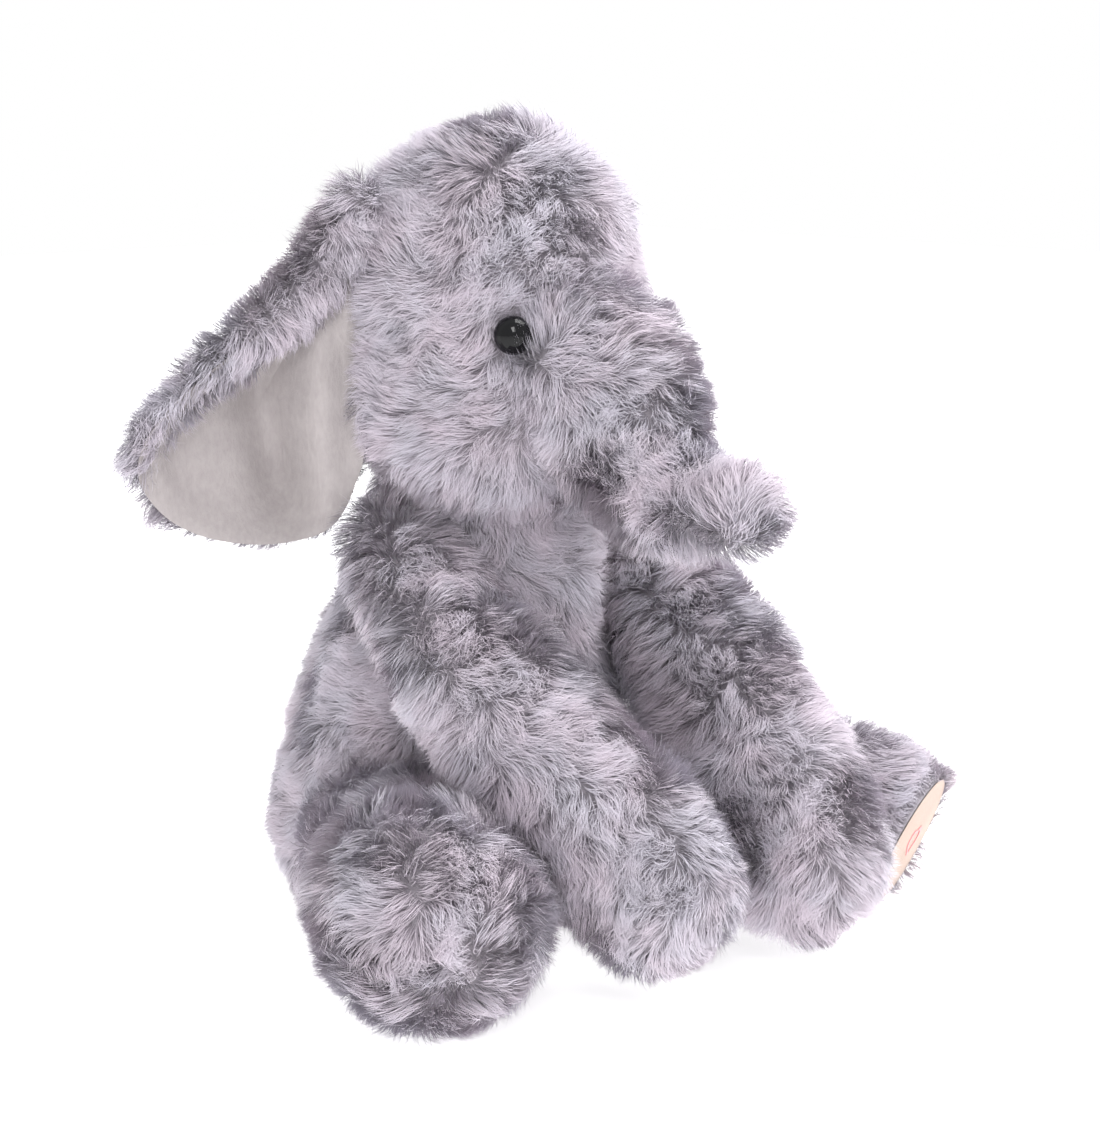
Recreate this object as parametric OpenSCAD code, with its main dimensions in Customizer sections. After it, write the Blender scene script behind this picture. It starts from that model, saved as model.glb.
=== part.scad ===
// Plush elephant that sits with its hind legs apart and its front legs reaching down between them.
// It faces -Y, its own left is +X and +Z is up. The origin is on the flat underside of the seat.
// Every skin is as thick as the fabric's backing with its settled pile, and is cut into sewn panels.
// A ball at the root of a limb, with a socket in its neighbour, stands for the sewn and flexing joint.

/* [Fabric] */
// Thickness of the long-pile fabric, its backing and settled pile together
pile_t = 5; // [4:0.5:6]
// Thickness of the short white plush that lines the ears
lining_t = 3; // [2:0.5:4]
// Thickness of the suede sole
suede_t = 1.5; // [1:0.5:2]

/* [Torso] */
// Widest radius of the body
body_r = 53; // [52:0.5:54]
// Height of the widest place of the body, along its leaning axis
body_wide = 45; // [42:1:48]
// Forward lean of the body in degrees
body_lean = 10; // [9:0.5:11]
// Height at which the body ends under the neck
body_top = 138; // [136:1:139]

/* [Head] */
// Widest radius of the head
head_r = 47; // [46:0.5:48]
// Height of the widest place of the head above the floor
head_wide = 196; // [194:1:198]
// Height of the top of the head above the floor
head_top = 262; // [258:1:264]
// Height of the underside of the head above the floor
head_low = 147; // [146:0.5:149]
// Half width of the strip that runs over the forehead
gusset_half = 17; // [14:1:19]

/* [Eyes] */
// Radius of the domed eye
eye_r = 6; // [5:0.5:6]
// Height of the eyes above the floor
eye_z = 199; // [198:1:202]
// Angle of each eye from straight ahead, in degrees
eye_turn = 37; // [35:1:40]

/* [Trunk] */
// Radius of the trunk where it leaves the face
trunk_root_r = 22; // [20:0.5:23]
// Radius of the ball where the trunk's tip bends
trunk_bend_r = 15; // [14:0.5:15]
// Radius of the trunk's free end
trunk_end_r = 11; // [10:0.5:12]

/* [Ears] */
// Length of the ear's root along its hinge line
ear_root = 52; // [46:1:54]
// Reach of the ear from its hinge line to its tip
ear_reach = 68; // [60:1:72]
// Angle of each ear behind straight sideways, in degrees
ear_sweep = 33; // [28:1:38]

/* [Limbs] */
// Radius of the shoulder ball
shoulder_r = 15.5; // [15:0.5:16]
// Radius of the front paw
paw_r = 22.5; // [21.5:0.5:22.5]
// Radius of the hip ball
hip_r = 25; // [24:0.5:25]
// Radius of the hind foot
foot_r = 31; // [30:0.5:31.5]
// Tilt of the left sole towards the floor, in degrees
sole_tilt = 23; // [18:1:26]
// Turn of the left sole towards the front, in degrees
sole_turn = 16; // [10:1:17]
// Radius of the suede pad
pad_r = 21; // [19:0.5:22]

/* [Tail] */
// Radius of the tail's sleeve
tail_r = 5; // [4:0.5:5.5]
// Radius of the tuft at the tail's end
tuft_r = 7.5; // [6:0.5:8]

/* [Hidden] */
$fn = 64;

LEFT = 1;
RIGHT = -1;
big = 400;
over = 1;
arc_step = 15;
socket_gap = 0.6;
fill_gap = 0.2;
press_gap = 0.3;

fur_color = [0.70, 0.67, 0.71];
fur_dark = [0.62, 0.59, 0.64];
lining_color = [0.86, 0.82, 0.81];
suede_color = [0.92, 0.82, 0.76];
fill_color = [0.96, 0.96, 0.94];
thread_color = [0.88, 0.66, 0.66];

body_foot = [0, 14, 0];
side_seam = 20;
body_up = 116;
body_down = 66;
room_step = 0.15;
arm_room = 2.8;
leg_room = 1.3;

neck_pivot = [0, -11, 152];
neck_ball_r = 27;
neck_low = body_top + 0.4;

head_y = -19;
head_down = 76;

eye_back = head_r - 1;
eye_dome = 5;
shank_r = 2;
shank_len = 11;
washer_r = 7.4;
washer_t = 1.5;
washer_gap = 0.05;
washer_sink = 0.8;

trunk_pivot = [0, -58, 183];
curl_pivot = [0, -94, 151];
trunk_end = [0, -122, 147];
trunk_cap = 5;
bend_clear = 8;
bend_lip = 4;
trunk_skin = pile_t / 2;

ear_foot = 49;
ear_y = -2;
ear_low = 184;
ear_lean = 9;
ear_front = 4;
ear_groove_r = 5;
ear_top_r = 4;
ear_tip_r = 12;
ear_tip_drop = 19;
ear_lobe_r = 22;
ear_lobe_drop = 27;
ear_inner_r = 20;
ear_inner_drop = 18;

shoulder = [47.5, -16, 128];
arm_flare_r = 22;
arm_flare_len = 60;
paw_cap = 20;
swell_rate = 1.6;

hip = [42, -15, 32];
leg_flare_r = 28;
leg_flare_len = 25;
foot_cap = 27;
sole_at = 22.4;
heart_r = 3.5;
heart_turn = 97;
thread_w = 0.8;
thread_t = 0.5;

pouch_y = 18;
pouch_r = 28;
pouch_h = 14;
pouch_wall = 1;

stitch_r = 0.5;
stitch_len = 6;
stitch_low = 72;
stitch_high = 107;
stitch_gap = 5;

label_at = [50, 22, 22];
label_turn = 25;
label_size = [22, 0.8, 14];

tail_pivot = [0, 62, 46];
tail_end = [0, 80, 13];
tail_root_r = tail_r + 1;
tail_flare_r = tail_r + 2;
tail_flare_len = 8;

function paw(side) = (side == LEFT) ? [39, -117, 35] : [-29, -117, 38];
function foot(side) = (side == LEFT) ? [99, -86, 31] : [-87, -86, 31];
function on_side(point, side) = [point.x * side, point.y, point.z];

arm_length = norm(paw(LEFT) - shoulder);

function backwards(list) = [for (i = [len(list) - 1 : -1 : 0]) list[i]];

// An egg seen from the side: a half ellipse above its widest place and another below.
function egg_profile(r, up, down) = [
    for (a = [-90 : arc_step : 90]) [r * cos(a), (a < 0 ? down : up) * sin(a)]
];

function dome_profile(r, high) = [for (a = [0 : arc_step : 90]) [r * cos(a), high * sin(a)]];

// How far a limb has swelled from its root's radius to its end's, from 0 to 1 along its length.
function swell(way) = (1 - cos(180 * min(1, swell_rate * way))) / 2;

// A limb seen from the side: a ball at the root, a swelling shaft and a rounded end.
function limb_profile(root_r, end_r, length, cap) = concat(
    [for (a = [-90 : arc_step : 0]) root_r * [cos(a), sin(a)]],
    [for (way = [0.2 : 0.2 : 0.8]) [root_r + (end_r - root_r) * swell(way), length * way]],
    [for (a = [0 : arc_step : 90]) [end_r * cos(a), length + cap * sin(a)]]
);

module egg(r, up, down) {
    rotate_extrude() polygon(egg_profile(r, up, down));
}

// The part of an egg's skin between two angles around its axis.
module egg_shell(r, up, down, thick, from, to) {
    inner = egg_profile(r - thick, up - thick, down - thick);
    rotate([0, 0, from])
        rotate_extrude(angle = to - from)
            polygon(concat(egg_profile(r, up, down), backwards(inner)));
}

module limb(root_r, end_r, length, cap) {
    rotate_extrude() polygon(limb_profile(root_r, end_r, length, cap));
}

// Puts a piece that is built along +Z on the line from one point to another.
module along(from, to) {
    way = to - from;
    translate(from)
        rotate([0, acos(way.z / norm(way)), atan2(way.y, way.x)])
            children();
}

module slab_above(z) {
    translate([-big / 2, -big / 2, z]) cube([big, big, big]);
}

module slab_below(z) {
    translate([-big / 2, -big / 2, z - big]) cube([big, big, big]);
}

// The half of space on one side of x = 0.
module half_x(side) {
    translate([side * big / 2, 0, 0]) cube([big, big, big], center = true);
}

module half_y(side) {
    translate([0, side * big / 2, 0]) cube([big, big, big], center = true);
}

// ---- Torso ----

module leaning() {
    translate(body_foot) rotate([body_lean, 0, 0]) children();
}

// The hollow that a limb leaves by: a socket for its root ball and a flare for the shaft.
module hollow(from, to, root_r, flare_r, flare_len) {
    along(from, to) {
        sphere(r = root_r + socket_gap);
        cylinder(r1 = root_r + socket_gap, r2 = flare_r + socket_gap, h = flare_len);
    }
}

module body_sockets() {
    for (side = [LEFT, RIGHT]) {
        hollow(on_side(shoulder, side), paw(side), shoulder_r, arm_flare_r, arm_flare_len);
        hollow(on_side(hip, side), foot(side), hip_r, leg_flare_r, leg_flare_len);
    }
    hollow(tail_pivot, tail_end, tail_root_r, tail_flare_r, tail_flare_len);
}

module torso_form(inset) {
    difference() {
        leaning()
            translate([0, 0, body_wide])
                egg(body_r - inset, body_up - inset, body_down - inset);
        slab_below(inset);
        slab_above(body_top - inset);
    }
}

// A panel of the body's skin between two seams, given as angles around its leaning axis.
module torso_panel(from, to) {
    difference() {
        leaning()
            translate([0, 0, body_wide])
                egg_shell(body_r, body_up, body_down, pile_t, from, to);
        slab_below(pile_t);
        slab_above(body_top);
        body_sockets();
    }
}

// The round panel under the seat, as thick as the fabric.
module torso_seat() {
    color(fur_dark)
        difference() {
            torso_form(0);
            slab_above(pile_t);
            body_sockets();
        }
}

module torso_belly() {
    color(fur_color) torso_panel(-180 + side_seam, -side_seam);
}

module torso_back_left() {
    color(fur_dark) torso_panel(-side_seam, 90);
}

module torso_back_right() {
    color(fur_dark) torso_panel(90, 180 + side_seam);
}

module pouch_shape(inset) {
    translate([0, pouch_y, pile_t + over + inset])
        cylinder(r = pouch_r - inset, h = pouch_h - 2 * inset);
}

// Room that the filling leaves for a limb: a row of balls that grow along its first part.
module limb_room(from, to, root_r, grow) {
    for (i = [0 : 2])
        translate(from + (to - from) * room_step * i) sphere(r = root_r + grow * (i + 1));
}

module torso_stuffing() {
    color(fill_color)
        difference() {
            torso_form(pile_t + fill_gap);
            pouch_shape(-fill_gap);
            for (side = [LEFT, RIGHT]) {
                limb_room(on_side(shoulder, side), paw(side), shoulder_r, arm_room);
                limb_room(on_side(hip, side), foot(side), hip_r, leg_room);
            }
        }
}

module pellet_pouch() {
    color("white")
        difference() {
            intersection() {
                pouch_shape(0);
                torso_form(pile_t + fill_gap);
            }
            seat_pellet_shape(0);
        }
}

module seat_pellet_shape(inset) {
    intersection() {
        pouch_shape(pouch_wall + inset);
        torso_form(pile_t + pouch_wall + fill_gap + inset);
    }
}

module seat_pellets() {
    color("gainsboro") seat_pellet_shape(fill_gap);
}

function back_reach(w) = body_r * sqrt(1 - pow((w - body_wide) / body_up, 2));

// Short ladder stitches that close the back seam after filling.
module closing_stitches() {
    color(fur_dark)
        leaning()
            for (w = [stitch_low : stitch_gap : stitch_high])
                translate([-stitch_len / 2, back_reach(w) + stitch_r, w])
                    rotate([0, 90, 0])
                        cylinder(r = stitch_r, h = stitch_len, $fn = 16);
}

// A blank folded tape caught in the seam at the left of the seat.
module care_label() {
    color("white")
        difference() {
            translate(label_at) rotate([0, 0, label_turn]) cube(label_size);
            torso_form(0);
        }
}

// ---- Neck ----

module neck_form(inset) {
    difference() {
        translate(neck_pivot) sphere(r = neck_ball_r - inset);
        slab_below(neck_low + inset);
    }
}

module neck_sleeve() {
    color(fur_dark)
        difference() {
            neck_form(0);
            neck_form(pile_t);
        }
}

module neck_stuffing() {
    color(fill_color) neck_form(pile_t + fill_gap);
}

// ---- Head ----

module ear_line(side) {
    translate([side * ear_foot, ear_y, ear_low])
        rotate([0, -side * ear_lean, 0])
            children();
}

module at_eye(side) {
    translate([0, head_y, eye_z])
        rotate([0, 0, side * eye_turn])
            translate([0, -eye_back, 0])
                rotate([90, 0, 0])
                    children();
}

module head_form(inset) {
    difference() {
        translate([0, head_y, head_wide])
            egg(head_r - inset, head_top - head_wide - inset, head_down - inset);
        slab_below(head_low + inset);
    }
}

// The hollows for the neck and for the root of the trunk.
module head_sockets() {
    translate(neck_pivot) sphere(r = neck_ball_r + socket_gap);
    hollow(trunk_pivot, curl_pivot, trunk_root_r, trunk_root_r, trunk_root_r);
}

module ear_grooves() {
    for (side = [LEFT, RIGHT])
        ear_line(side)
            translate([0, 0, -socket_gap])
                cylinder(r = ear_groove_r, h = ear_root + 2 * socket_gap);
}

module eye_seats() {
    for (side = [LEFT, RIGHT])
        at_eye(side) {
            cylinder(r = eye_r + press_gap, h = eye_dome);
            translate([0, 0, -2 * pile_t]) cylinder(r = shank_r + press_gap, h = 2 * pile_t + over);
        }
}

module strip_region() {
    cube([2 * gusset_half, big, 2 * big], center = true);
}

module chin_region() {
    intersection() {
        strip_region();
        translate([0, head_y, 0]) half_y(-1);
        slab_below(trunk_pivot.z);
    }
}

module head_skin() {
    difference() {
        head_form(0);
        head_form(pile_t);
        head_sockets();
        ear_grooves();
        eye_seats();
    }
}

module head_side(side) {
    color(fur_color)
        intersection() {
            head_skin();
            translate([side * (gusset_half + big / 2), 0, head_wide]) cube([big, big, big], center = true);
        }
}

module head_side_left() {
    head_side(LEFT);
}

module head_side_right() {
    head_side(RIGHT);
}

module head_gusset() {
    color(fur_dark)
        difference() {
            intersection() {
                head_form(0);
                strip_region();
            }
            head_form(pile_t);
            head_sockets();
            chin_region();
        }
}

module head_chin() {
    color(fur_color)
        difference() {
            intersection() {
                head_form(0);
                chin_region();
            }
            head_form(pile_t);
            head_sockets();
        }
}

module head_stuffing() {
    color(fill_color)
        difference() {
            head_form(pile_t + fill_gap);
            head_sockets();
            for (side = [LEFT, RIGHT])
                at_eye(side)
                    translate([0, 0, -shank_len - over])
                        cylinder(r = washer_r + press_gap, h = shank_len + over);
        }
}

// A domed cap on a shank that passes through the skin.
module eye(side) {
    color("black")
        at_eye(side) {
            rotate_extrude()
                polygon(concat([[0, 0]], dome_profile(eye_r, eye_dome)));
            translate([0, 0, -shank_len]) cylinder(r = shank_r, h = shank_len);
        }
}

module eye_left() {
    eye(LEFT);
}

module eye_right() {
    eye(RIGHT);
}

// The lock washer that is pushed up the shank, behind the skin.
module eye_washer(side) {
    color("white")
        at_eye(side)
            translate([0, 0, -pile_t - washer_sink - washer_t])
                difference() {
                    cylinder(r = washer_r, h = washer_t);
                    translate([0, 0, -over]) cylinder(r = shank_r + washer_gap, h = washer_t + 2 * over);
                }
}

module eye_washer_left() {
    eye_washer(LEFT);
}

module eye_washer_right() {
    eye_washer(RIGHT);
}

// ---- Trunk ----

// The upper length of the trunk, hollowed at its lower end for the tip's ball.
module trunk_base_form(inset) {
    length = norm(curl_pivot - trunk_pivot);
    difference() {
        along(trunk_pivot, curl_pivot)
            intersection() {
                limb(trunk_root_r - inset, trunk_bend_r + bend_lip - inset, length, bend_lip);
                slab_below(length - bend_clear - inset);
            }
        translate(curl_pivot) sphere(r = trunk_bend_r + socket_gap + inset);
    }
}

module trunk_tip_form(inset) {
    length = norm(trunk_end - curl_pivot);
    along(curl_pivot, trunk_end)
        limb(trunk_bend_r - inset, trunk_end_r - inset, length, trunk_cap - inset / 2);
}

// In each part's own frame +X is its underside and -X its top.
module trunk_base_half(side) {
    difference() {
        trunk_base_form(0);
        trunk_base_form(trunk_skin);
        along(trunk_pivot, curl_pivot) half_x(-side);
    }
}

module trunk_tip_half(side) {
    difference() {
        trunk_tip_form(0);
        trunk_tip_form(trunk_skin);
        along(curl_pivot, trunk_end) half_x(-side);
    }
}

module trunk_base_upper() {
    color(fur_color) trunk_base_half(-1);
}

module trunk_base_lower() {
    color(fur_dark) trunk_base_half(1);
}

module trunk_base_stuffing() {
    color(fill_color) trunk_base_form(trunk_skin + fill_gap);
}

module trunk_tip_upper() {
    color(fur_color) trunk_tip_half(-1);
}

module trunk_tip_lower() {
    color(fur_dark) trunk_tip_half(1);
}

module trunk_tip_stuffing() {
    color(fill_color) trunk_tip_form(trunk_skin + fill_gap);
}

// ---- Ears ----

// The ear's outline in its own plane: x runs out from the hinge line and y runs up it.
module ear_outline() {
    hull() {
        translate([ear_top_r, ear_root - ear_top_r]) circle(r = ear_top_r, $fn = 32);
        translate([ear_reach - ear_tip_r, -ear_tip_drop]) circle(r = ear_tip_r, $fn = 32);
        translate([ear_reach / 2, -ear_lobe_drop]) circle(r = ear_lobe_r, $fn = 32);
        translate([ear_inner_r, -ear_inner_drop]) circle(r = ear_inner_r, $fn = 32);
    }
}

// Turns the ear's plane so that it stands on its hinge line and sweeps back.
module ear_plane(side) {
    ear_line(side)
        rotate([0, 0, side == LEFT ? ear_sweep : 180 - ear_sweep])
            rotate([90, 0, 0])
                children();
}

// A layer of the ear between two distances in front of its hinge line.
module ear_layer(side, low, high) {
    bottom = (side == LEFT) ? low : -high;
    ear_plane(side)
        translate([0, 0, bottom])
            linear_extrude(high - low)
                ear_outline();
}

module ear_outer(side) {
    color(fur_color) ear_layer(side, ear_front - lining_t - pile_t, ear_front - lining_t);
}

module ear_left_outer() {
    ear_outer(LEFT);
}

module ear_right_outer() {
    ear_outer(RIGHT);
}

module ear_lining(side) {
    color(lining_color) ear_layer(side, ear_front - lining_t, ear_front);
}

module ear_left_lining() {
    ear_lining(LEFT);
}

module ear_right_lining() {
    ear_lining(RIGHT);
}

// ---- Front legs ----

module arm_shape(grow) {
    limb(shoulder_r + grow, paw_r + grow, arm_length, paw_cap + grow);
}

module arm_half(side, half) {
    color(half == side ? fur_color : fur_dark)
        along(on_side(shoulder, side), paw(side))
            difference() {
                arm_shape(0);
                arm_shape(-pile_t);
                half_y(-half);
            }
}

module arm_stuffing(side) {
    color(fill_color)
        along(on_side(shoulder, side), paw(side))
            arm_shape(-pile_t - fill_gap);
}

module arm_left_outer() {
    arm_half(LEFT, LEFT);
}

module arm_left_inner() {
    arm_half(LEFT, RIGHT);
}

module arm_left_stuffing() {
    arm_stuffing(LEFT);
}

module arm_right_outer() {
    arm_half(RIGHT, RIGHT);
}

module arm_right_inner() {
    arm_half(RIGHT, LEFT);
}

module arm_right_stuffing() {
    arm_stuffing(RIGHT);
}

// ---- Hind legs ----

module leg_shape(side, inset) {
    length = norm(foot(side) - on_side(hip, side));
    difference() {
        along(on_side(hip, side), foot(side))
            limb(hip_r - inset, foot_r - inset, length, foot_cap - inset);
        slab_below(inset);
    }
}

// The frame of a sole: +Z points out of the foot. The left one is tilted down and turned forwards.
module at_sole(side) {
    length = norm(foot(side) - on_side(hip, side));
    along(on_side(hip, side), foot(side))
        translate([0, 0, length])
            rotate(side == LEFT ? [sole_turn, sole_tilt, 0] : [0, 0, 0])
                translate([0, 0, sole_at])
                    children();
}

module leg_half(side, half) {
    color(half > 0 ? fur_dark : fur_color)
        difference() {
            leg_shape(side, 0);
            leg_shape(side, pile_t);
            along(on_side(hip, side), foot(side)) half_x(-half);
            at_sole(side) slab_above(0);
        }
}

module leg_stuffing(side) {
    color(fill_color)
        difference() {
            leg_shape(side, pile_t + fill_gap);
            if (side == LEFT) {
                at_sole(side) slab_above(-fill_gap);
            }
        }
}

module leg_left_upper() {
    leg_half(LEFT, -1);
}

module leg_left_lower() {
    leg_half(LEFT, 1);
}

module leg_left_sole() {
    color(suede_color)
        at_sole(LEFT)
            cylinder(r = pad_r, h = suede_t);
}

// A small stitched heart, worked in pink thread in the middle of the sole with its point down.
module sole_embroidery() {
    color(thread_color)
        at_sole(LEFT)
            translate([0, 0, suede_t])
                rotate([0, 0, heart_turn])
                    linear_extrude(thread_t)
                        difference() {
                            heart(heart_r);
                            heart(heart_r - thread_w);
                        }
}

module heart(lobe_r) {
    rotate(45) {
        square([2 * lobe_r, 2 * lobe_r], center = true);
        translate([lobe_r, 0]) circle(r = lobe_r);
        translate([0, lobe_r]) circle(r = lobe_r);
    }
}

module leg_left_stuffing() {
    leg_stuffing(LEFT);
}

module leg_right_upper() {
    leg_half(RIGHT, -1);
}

module leg_right_lower() {
    leg_half(RIGHT, 1);
}

// The right foot is closed by a domed panel of the same long-pile fabric.
module leg_right_sole() {
    color(fur_color)
        difference() {
            leg_shape(RIGHT, 0);
            leg_shape(RIGHT, pile_t);
            at_sole(RIGHT) slab_below(0);
        }
}

module leg_right_stuffing() {
    leg_stuffing(RIGHT);
}

// ---- Tail ----

module tail_sleeve() {
    color(fur_dark)
        along(tail_pivot, tail_end)
            limb(tail_root_r, tail_r, norm(tail_end - tail_pivot), tail_r);
}

module tail_tuft() {
    color(fur_color)
        difference() {
            translate(tail_end) sphere(r = tuft_r);
            along(tail_pivot, tail_end)
                cylinder(r = tail_r + fill_gap, h = norm(tail_end - tail_pivot) + 2 * tuft_r);
        }
}

torso_belly();
torso_back_left();
torso_back_right();
torso_seat();
torso_stuffing();
pellet_pouch();
seat_pellets();
closing_stitches();
care_label();
neck_sleeve();
neck_stuffing();
head_side_left();
head_side_right();
head_gusset();
head_chin();
head_stuffing();
eye_left();
eye_right();
eye_washer_left();
eye_washer_right();
trunk_base_upper();
trunk_base_lower();
trunk_base_stuffing();
trunk_tip_upper();
trunk_tip_lower();
trunk_tip_stuffing();
ear_left_outer();
ear_left_lining();
ear_right_outer();
ear_right_lining();
arm_left_outer();
arm_left_inner();
arm_left_stuffing();
arm_right_outer();
arm_right_inner();
arm_right_stuffing();
leg_left_upper();
leg_left_lower();
leg_left_sole();
sole_embroidery();
leg_left_stuffing();
leg_right_upper();
leg_right_lower();
leg_right_sole();
leg_right_stuffing();
tail_sleeve();
tail_tuft();
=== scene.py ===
"""A seated plush elephant in long grey-lavender pile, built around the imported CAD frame.

Each CAD body gets a stuffed skin, and its pile is made of tapered mesh strands in clumps.
Shapes are worked out in millimetres in the row frame, and meshes are made in metres.
"""

import math

import bpy
import numpy as np
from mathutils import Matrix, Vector, kdtree


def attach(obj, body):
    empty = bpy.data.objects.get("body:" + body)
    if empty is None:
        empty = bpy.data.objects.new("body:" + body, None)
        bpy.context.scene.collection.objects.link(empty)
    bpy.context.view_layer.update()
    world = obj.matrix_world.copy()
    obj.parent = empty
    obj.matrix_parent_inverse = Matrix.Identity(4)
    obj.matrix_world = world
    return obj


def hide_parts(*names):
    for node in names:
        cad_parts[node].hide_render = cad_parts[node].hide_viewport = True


MM = 0.001  # metres in a millimetre
STEPS = 4  # points along a strand, the last of them its tip
PIECE_STRANDS = 38000  # the most strands in one piece
PILE = 6.5  # how far a skin lies under the outside of its pile
TIP_PILE = 6  # the same at the trunk's tip
DENSITY = 3.0  # strands on a square millimetre
WIDEN = 1.0  # how much wider each strand is when there are fewer
FLOOR_GAP = 1.2  # how far the skins stay above the floor
UP = np.array([0, 0, 1.0])

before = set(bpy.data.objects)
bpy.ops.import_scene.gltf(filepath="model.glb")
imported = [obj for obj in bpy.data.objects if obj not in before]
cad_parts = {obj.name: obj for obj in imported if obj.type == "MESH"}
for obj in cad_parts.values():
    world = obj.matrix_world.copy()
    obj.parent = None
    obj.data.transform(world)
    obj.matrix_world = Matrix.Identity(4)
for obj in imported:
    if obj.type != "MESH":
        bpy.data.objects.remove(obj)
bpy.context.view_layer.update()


# ---- Small numeric helpers ----


def unit(v):
    return v / np.maximum(np.linalg.norm(v, axis=-1, keepdims=True), 1e-9)


def dot(a, b):
    return (a * b).sum(-1, keepdims=True)


def smooth(x, low, high):
    """From 0 at low to 1 at high, with soft ends; low may be the larger."""
    t = np.clip((x - low) / (high - low), 0, 1)
    return t * t * (3 - 2 * t)


def hump(x, width):
    """1 where x is 0, falling smoothly to almost nothing at twice the width."""
    return np.exp(-((x / width) ** 2))


def lattice(x, y, z, seed):
    """A steady random value from -1 to 1 for each whole-numbered place."""
    h = (x * 73856093) ^ (y * 19349663) ^ (z * 83492791) ^ (seed * 26544357)
    h = ((h ^ (h >> 13)) * 1274126177) & 0xFFFFFFFF
    h = ((h ^ (h >> 16)) * 2246822519) & 0xFFFFFFFF
    return (h ^ (h >> 15)) / 2147483647.5 - 1


def noise(points, size, seed):
    """Smooth value noise from -1 to 1 with features about size millimetres across."""
    p = np.asarray(points) / size
    cell = np.floor(p).astype(np.int64)
    f = p - cell
    f = f * f * (3 - 2 * f)
    total = 0
    for dx in (0, 1):
        for dy in (0, 1):
            for dz in (0, 1):
                weight = (
                    (f[:, 0] if dx else 1 - f[:, 0])
                    * (f[:, 1] if dy else 1 - f[:, 1])
                    * (f[:, 2] if dz else 1 - f[:, 2])
                )
                total = total + weight * lattice(
                    cell[:, 0] + dx, cell[:, 1] + dy, cell[:, 2] + dz, seed
                )
    return total


def spline(keys, per_span, closed=False):
    """A Catmull-Rom line through rows of numbers."""
    keys = np.asarray(keys, float)
    n = len(keys)
    out = []
    for i in range(n if closed else n - 1):
        if closed:
            a, b, c, d = (keys[(i + k) % n] for k in (-1, 0, 1, 2))
        else:
            a, b, c, d = (keys[min(max(i + k, 0), n - 1)] for k in (-1, 0, 1, 2))
        for s in np.arange(per_span) / per_span:
            out.append(
                0.5
                * (
                    2 * b
                    + (c - a) * s
                    + (2 * a - 5 * b + 4 * c - d) * s * s
                    + (3 * b - a - 3 * c + d) * s**3
                )
            )
    if not closed:
        out.append(keys[-1])
    return np.array(out)


# ---- Materials ----


def new_material(name):
    """A material with its nodes, its links and its shader."""
    material = bpy.data.materials.new(name)
    material.use_nodes = True
    nodes = material.node_tree.nodes
    return material, nodes, material.node_tree.links, nodes["Principled BSDF"]


def node_of(nodes, kind, **values):
    """A new node with its own settings and its input values set by name."""
    node = nodes.new(kind)
    for key, value in values.items():
        if hasattr(node, key):
            setattr(node, key, value)
        else:
            node.inputs[key.replace("_", " ")].default_value = value
    return node


def ramp_of(nodes, stops):
    """A colour ramp through places from 0 to 1 and their colours."""
    ramp = nodes.new("ShaderNodeValToRGB")
    elements = ramp.color_ramp.elements
    while len(elements) < len(stops):
        elements.new(0.5)
    for element, (place, colour) in zip(elements, stops):
        element.position = place
        element.color = (*colour, 1)
    return ramp


TONE_REACH = 0.42  # how far a strand's own tone moves it along the colour ramp


def fur_material(name, stops, cool, warm):
    """Strands that are dark at the root and pale at the tip, in patches of cooler and warmer grey; the dark
    roots are partly the pile's own colour and partly painted shade deep in the pile.
    """
    material, nodes, links, shader = new_material(name)
    tip = node_of(nodes, "ShaderNodeAttribute", attribute_name="tip")
    tone = node_of(nodes, "ShaderNodeAttribute", attribute_name="tone")
    ramp = ramp_of(nodes, stops)
    place = nodes.new("ShaderNodeTexCoord")
    patches = node_of(nodes, "ShaderNodeTexNoise", Scale=42.0, Detail=3.0, Roughness=0.6)
    links.new(place.outputs["Object"], patches.inputs["Vector"])
    lift = node_of(nodes, "ShaderNodeMath", operation="MULTIPLY_ADD")
    lift.inputs[1].default_value = TONE_REACH
    links.new(tone.outputs["Fac"], lift.inputs[0])
    shift = node_of(nodes, "ShaderNodeMath", operation="ADD")
    shift.inputs[1].default_value = -TONE_REACH / 2
    links.new(tip.outputs["Fac"], shift.inputs[0])
    links.new(shift.outputs[0], lift.inputs[2])
    links.new(lift.outputs[0], ramp.inputs["Fac"])
    hue = ramp_of(nodes, [(0.38, cool), (0.62, warm)])
    links.new(patches.outputs["Fac"], hue.inputs["Fac"])
    tint = node_of(nodes, "ShaderNodeMix", data_type="RGBA", blend_type="MULTIPLY")
    tint.inputs["Factor"].default_value = 1.0
    links.new(ramp.outputs["Color"], tint.inputs["A"])
    links.new(hue.outputs["Color"], tint.inputs["B"])
    links.new(tint.outputs["Result"], shader.inputs["Base Color"])
    shader.inputs["Roughness"].default_value = 0.7
    shader.inputs["Specular IOR Level"].default_value = 0.25
    shader.inputs["Sheen Weight"].default_value = 0.25
    shader.inputs["Sheen Roughness"].default_value = 0.45
    return material


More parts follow.
